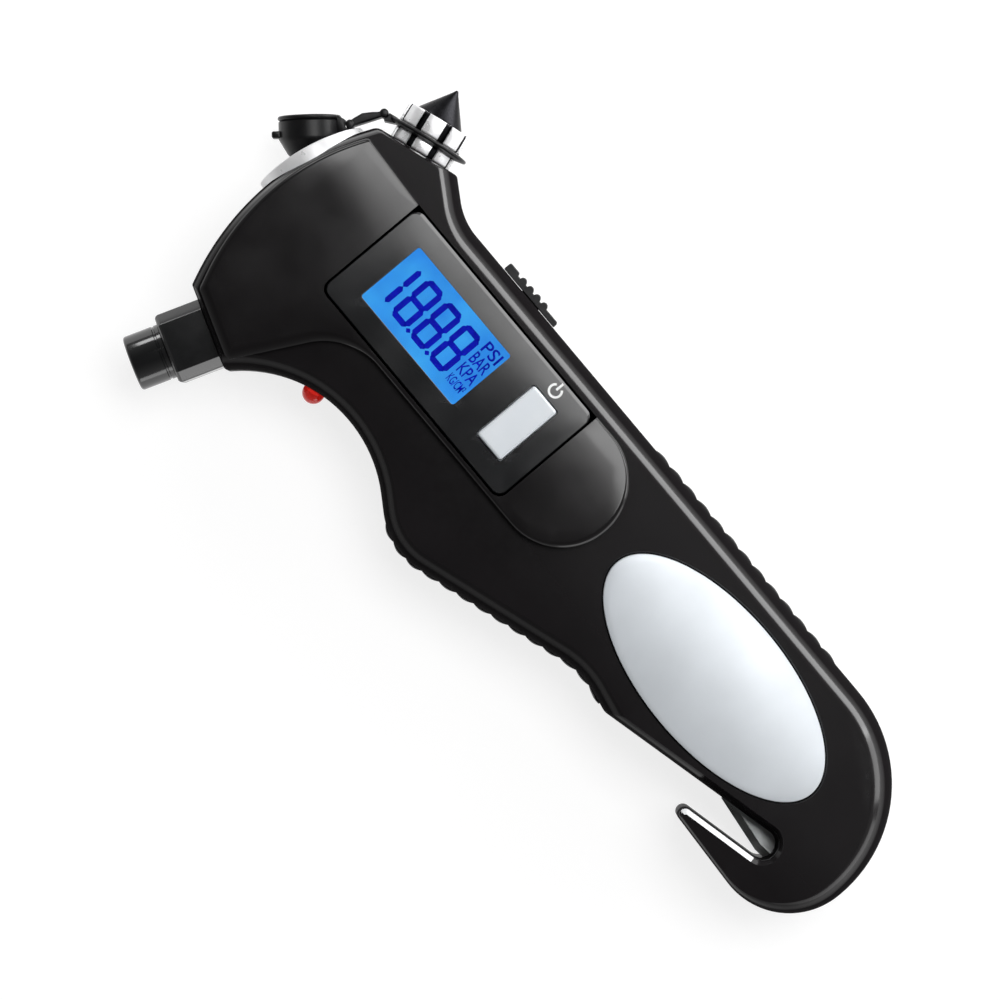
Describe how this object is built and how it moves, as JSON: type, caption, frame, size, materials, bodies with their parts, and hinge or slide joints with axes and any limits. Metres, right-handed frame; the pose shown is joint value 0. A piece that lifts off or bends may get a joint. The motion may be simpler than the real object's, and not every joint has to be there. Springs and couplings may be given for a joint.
{
  "type": "tire pressure gauge",
  "caption": "Handheld digital tire gauge with backlit display, valve chuck, torch, flasher, window hammer under a flip cap and a belt cutter hook.",
  "frame": {"origin": "middle of the footprint, on the back of the casing", "axes": "+Z out of the face, +Y towards the head with the torch, +X towards the palm side with the hammer"},
  "size_m": [0.0873, 0.1923, 0.0286],
  "materials": {
    "case_black": "satin moulded ABS",
    "grip_rubber": "soft ribbed rubber",
    "silver_plastic": "silver lacquer on plastic",
    "panel_grey": "dark grey satin lacquer",
    "clear_window": "clear acrylic",
    "lcd": "blue backlit display glass",
    "backlight": "white light guide",
    "zebra": "layered contact rubber",
    "board": "green solder mask",
    "switch_black": "moulded",
    "chuck_plastic": "dark moulded plastic",
    "seal_rubber": "soft rubber",
    "brass": "turned brass",
    "sensor_can": "drawn steel can",
    "torch_chrome": "bright plating",
    "torch_lens": "clear polycarbonate",
    "reflector": "vacuum-metallised",
    "white_lamp": "clear epoxy lamp",
    "red_lamp": "red epoxy lamp",
    "hammer_chrome": "bright plating",
    "point_black": "black oxide",
    "cap_rubber": "soft rubber",
    "blade_steel": "ground steel",
    "cell_wrap": "shrink wrap",
    "spring_steel": "plated wire",
    "screw_steel": "zinc plated"
  },
  "bodies": {
    "casing": {"front_shell": "case_black", "rear_shell": "case_black", "finger_grip": "grip_rubber", "palm_grip": "grip_rubber", "handle_inlay": "silver_plastic", "display_panel": "panel_grey", "lcd_window": "clear_window", "lcd_glass": "lcd", "lcd_backlight": "backlight", "zebra_strips": "zebra", "main_board": "board", "tact_switch": "switch_black", "chuck_collar": "chuck_plastic", "chuck_tip": "chuck_plastic", "chuck_seal": "seal_rubber", "depressor_pin": "brass", "air_tube": "brass", "pressure_sensor": "sensor_can", "torch_bezel": "torch_chrome", "torch_lens": "torch_lens", "torch_reflector": "reflector", "torch_led": "white_lamp", "slide_switch": "switch_black", "flasher_led": "red_lamp", "hammer_seat": "hammer_chrome", "cap_ring": "cap_rubber", "hammer_nut": "hammer_chrome", "hammer_point": "point_black", "cutter_blade": "blade_steel", "blade_pins": "screw_steel", "battery_cells": "cell_wrap", "battery_springs": "spring_steel", "battery_contacts": "spring_steel", "battery_door": "case_black", "door_screw": "screw_steel", "case_screws": "screw_steel"},
    "button": {"power_button": "silver_plastic"},
    "slider": {"torch_switch_knob": "switch_black"},
    "strap": {"cap_strap": "cap_rubber"},
    "cap": {"hammer_cap": "cap_rubber"}
  },
  "joints": [
    {"name": "button_press", "type": "slide", "parent": "casing", "child": "button", "axis": [0, 0, -1], "range_m": [0, 0.0006], "stiffness_N_per_m": 400},
    {"name": "slider_move", "type": "slide", "parent": "casing", "child": "slider", "axis": [0, 1, 0], "range_m": [0, 0.004]},
    {"name": "strap_fold", "type": "hinge", "parent": "casing", "child": "strap", "pos_m": [0.02936, 0.08294, 0.013], "axis": [0, 0, -1], "range_deg": [0, 155]},
    {"name": "cap_tilt", "type": "hinge", "parent": "strap", "child": "cap", "pos_m": [0.02268, 0.08567, 0.013], "axis": [0, 0, -1], "range_deg": [0, 58]}
  ],
  "couplings": [
    {"joint": "cap_tilt", "follows": "strap_fold", "ratio": 0.37419}
  ]
}
